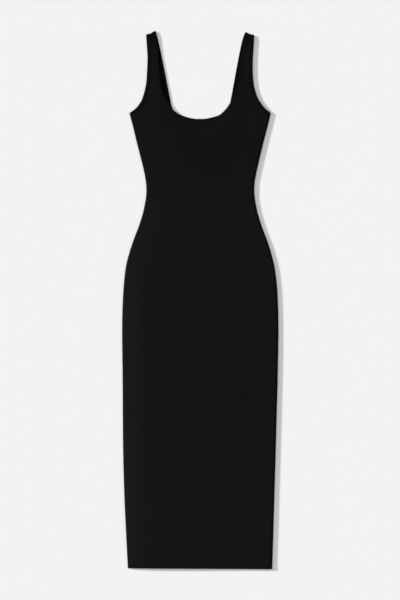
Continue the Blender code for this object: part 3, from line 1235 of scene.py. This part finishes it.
@dataclass
class Topstitch:
    """The rows of stitches along a turned edge, as threads that dip into the cloth."""

    name: str
    panel: Panel
    along: str  # the name of the stretch that it follows
    thread: bpy.types.Material
    face: Face = Face.OUTER  # the face of the cloth that it shows on
    pitch: float = 3.0 * MM  # from one stitch to the next
    seen: float = 0.84  # the share of that which shows
    samples: int = 3  # of a row's line, to a stitch
    radius: float = 0.20 * MM  # of the thread
    sides: int = 6  # round the thread
    clear: float = 1.6 * MM  # kept from a seam
    slack: float = 0.3 * MM  # how much nearer than its distance a row may come to an edge
    rings: tuple[Ring, ...] = STITCH_RINGS

    def rows(self) -> list[Line]:
        """Lays out the rows on the panel, clear of its seams.

        Returns:
            Their lines.
        """
        stretch = next(s for s in self.panel.stretches if s.name == self.along)
        sewn = [s.line for s in self.panel.stretches if s.edging is Edging.SEWN]
        rows = []
        for far in self.panel.edge.rows:
            line = stretch.line.extended(2 * far).inset(far, self.pitch / self.samples)
            inside = self.inside(line.samples, far)
            gap = np.min([seam.distance(line.samples) for seam in sewn], axis=0)
            rows.append(Line(line.samples[inside & (gap > self.clear)]))
        return rows

    def inside(self, places: Array, far: float) -> NDArray[np.bool_]:
        """Which places lie on the panel, at their distance from its turned edges.

        Args:
            places: The places, one X and Y a row.
            far: Their distance from the turned edges.

        Returns:
            Whether each does.
        """
        outline = np.concatenate([s.line.samples[:-1] for s in self.panel.stretches])
        after = np.roll(outline, -1, axis=0)
        x, y = places[:, :1], places[:, 1:]
        crosses = (outline[:, 1] > y) != (after[:, 1] > y)
        rise = np.where(after[:, 1] == outline[:, 1], 1.0, after[:, 1] - outline[:, 1])
        meets = outline[:, 0] + (y - outline[:, 1]) / rise * (after[:, 0] - outline[:, 0])
        within = (crosses & (meets > x)).sum(axis=1) % 2 == 1
        return within & (Reach.of(places, self.panel.stretches).turned > far - self.slack)

    def build(self) -> bpy.types.Object:
        """Builds the stitches.

        Returns:
            The stitches as one piece.
        """
        points = np.concatenate([self.threads(line) for line in self.rows()])
        stitches, count, sides = points.shape[:3]
        numbers = np.arange(stitches * count * sides).reshape(stitches, count, sides)
        near, far = numbers[:, :-1], numbers[:, 1:]
        walls = np.stack(
            [near, np.roll(near, -1, axis=2), np.roll(far, -1, axis=2), far], axis=-1
        )
        faces = walls.reshape(-1, 4).tolist()
        faces += numbers[:, 0, ::-1].tolist() + numbers[:, -1].tolist()
        return new_piece(self.name, points.reshape(-1, 3), faces, self.thread)

    def threads(self, line: Line) -> Array:
        """Lays out the stitches along one row.

        Args:
            line: The row's line.

        Returns:
            Their points, by stitch, ring and side.
        """
        along, radius, height = np.transpose(self.rings)
        count = int(line.length / self.pitch)
        starts = (np.arange(count) + (1 - self.seen) / 2) / count
        centres = line.at(starts[:, None] + along * self.seen / count)
        ahead = centres[:, -1] - centres[:, 0]
        ahead /= np.linalg.norm(ahead, axis=1, keepdims=True)
        aside = np.column_stack([-ahead[:, 1], ahead[:, 0]])
        low, high = self.panel.faces(centres.reshape(-1, 2))
        up = self.up()
        cloth = (high if up > 0 else low).reshape(centres.shape[:2])
        heights = cloth + up * self.radius * height
        angles = np.arange(self.sides) * math.tau / self.sides
        radii = (self.radius * radius)[:, None]
        flat = centres[:, :, None] + (radii * np.cos(angles))[..., None] * aside[:, None, None]
        raised = heights[:, :, None] + radii * np.sin(angles)
        return np.concatenate([flat, raised[..., None]], axis=-1)

    def up(self) -> float:
        """Which way the face looks: 1 up and -1 down."""
        above = isinstance(self.panel, FrontPanel) == (self.face is Face.OUTER)
        return 1.0 if above else -1.0


# --------------------------------------------------------------------------------------------
# The studio


class Lamp(NamedTuple):
    """A far light."""

    name: str
    strength: float  # in watts to the square metre
    width: float  # how wide it looks from the dress, in degrees
    elevation: float  # its height over the floor, in degrees


@dataclass(frozen=True)
class Studio:
    """A pale floor, a low hard light, soft light from above and all round, and the camera."""

    paper: BackdropPaper = BackdropPaper()
    floor_size: float = 120.0  # length of the floor's sides
    floor_drop: float = 0.3 * MM  # how far it lies under the dress, so that they don't touch
    lamps: tuple[Lamp, ...] = (
        Lamp("key_light", strength=4.5, width=6.0, elevation=18.7),
        Lamp("overhead_light", strength=1.61, width=100.0, elevation=90.0),
    )
    bearing: float = 19.0  # the lamps' turn from the left towards the shoulders, in degrees
    fill: float = 0.15  # strength of the soft light all round
    backdrop: float = 0.896  # brightness of what lies beyond the floor
    lens: float = 85.0  # the camera's focal length in millimetres
    sensor: float = 36.0  # the camera's long side in millimetres
    view_length: float = 1.3854  # what the picture's long side shows of the floor
    view_shift: tuple[float, float] = (-0.53 * MM, -0.1 * MM)  # where the camera stands over it

    def build(self) -> None:
        """Builds the floor, the lights and the camera."""
        self.floor()
        for lamp in self.lamps:
            self.hang(lamp)
        self.soft_light()
        self.camera()
        bpy.context.scene.view_settings.view_transform = "Standard"

    def floor(self) -> None:
        """Lays the floor."""
        half = self.floor_size / 2
        corners = [(-half, -half), (half, -half), (half, half), (-half, half)]
        mesh = bpy.data.meshes.new("floor")
        mesh.from_pydata([(*corner, -self.floor_drop) for corner in corners], [], [(0, 1, 2, 3)])
        mesh.materials.append(self.paper.material())
        floor = bpy.data.objects.new("floor", mesh)
        bpy.context.scene.collection.objects.link(floor)

    def hang(self, lamp: Lamp) -> None:
        """Sets a lamp on the lamps' bearing.

        Args:
            lamp: The lamp.
        """
        light = bpy.data.lights.new(lamp.name, "SUN")
        light.energy = lamp.strength
        light.angle = math.radians(lamp.width)
        hung = bpy.data.objects.new(lamp.name, light)
        bearing, height = math.radians(self.bearing), math.radians(lamp.elevation)
        towards = Vector((-math.cos(bearing), math.sin(bearing), math.tan(height)))
        hung.rotation_euler = towards.to_track_quat("Z", "Y").to_euler()
        bpy.context.scene.collection.objects.link(hung)

    def soft_light(self) -> None:
        """Sets the soft light all round, and the brightness of the backdrop past the floor."""
        world = bpy.data.worlds.new("studio")
        world.use_nodes = True
        bpy.context.scene.world = world
        tree = world.node_tree
        seen = add_node(tree, "LightPath").outputs["Is Camera Ray"]
        ends = {"To Min": self.fill, "To Max": self.backdrop}
        strength = add_node(tree, "MapRange", {"Value": seen, **ends}).outputs["Result"]
        feed(tree, tree.nodes["Background"], {"Color": linear("#ffffff"), "Strength": strength})

    def camera(self) -> None:
        """Sets the camera straight over the dress."""
        data = bpy.data.cameras.new("camera")
        data.lens = self.lens
        data.sensor_width = self.sensor
        camera = bpy.data.objects.new("camera", data)
        camera.location = (*self.view_shift, self.view_length * self.lens / self.sensor)
        bpy.context.scene.collection.objects.link(camera)
        bpy.context.scene.camera = camera


@dataclass
class Dress:
    """The whole dress: two panels and the stitching of their turned edges."""

    front: FrontPanel
    back: BackPanel
    stitched: tuple[str, ...] = ("neck", "armhole_left", "armhole_right", "hem")  # of each panel

    def build(self) -> list[bpy.types.Object]:
        """Returns:
            Its pieces.
        """
        thread = SewingThread().material()
        back, front = self.back.build(), self.front.build()
        front_rows, back_rows = (
            [
                Topstitch(f"{panel.name}_{along}_stitches", panel, along, thread).build()
                for along in self.stitched
            ]
            for panel in (self.front, self.back)
        )
        inside = Topstitch("back_neck_inside_stitches", self.back, "neck", thread, Face.INNER)
        back_rows.append(inside.build())
        self.back.declare("floor", back_rows)
        self.front.declare(back.name, front_rows)
        return [back, front, *front_rows, *back_rows]


def main() -> None:
    """Builds the studio and the dress, and reports each piece."""
    logging.basicConfig(level=logging.INFO, format="%(message)s")
    Studio().build()
    front = FrontPanel(
        name="front_shell",
        node="front_panel",
        slot="knit_front",
        cut=FRONT_CUT,
        knit=FRONT_KNIT,
        seam_height=0.3,
    )
    back = BackPanel(
        name="back_shell",
        node="back_panel",
        slot="knit_back",
        cut=BACK_CUT,
        knit=BACK_KNIT,
        seam_height=0.7,
    )
    for piece in Dress(front, back).build():
        mesh = piece.data
        log.info("%s: %d points, %d faces", piece.name, len(mesh.vertices), len(mesh.polygons))


if __name__ == "__main__":
    main()
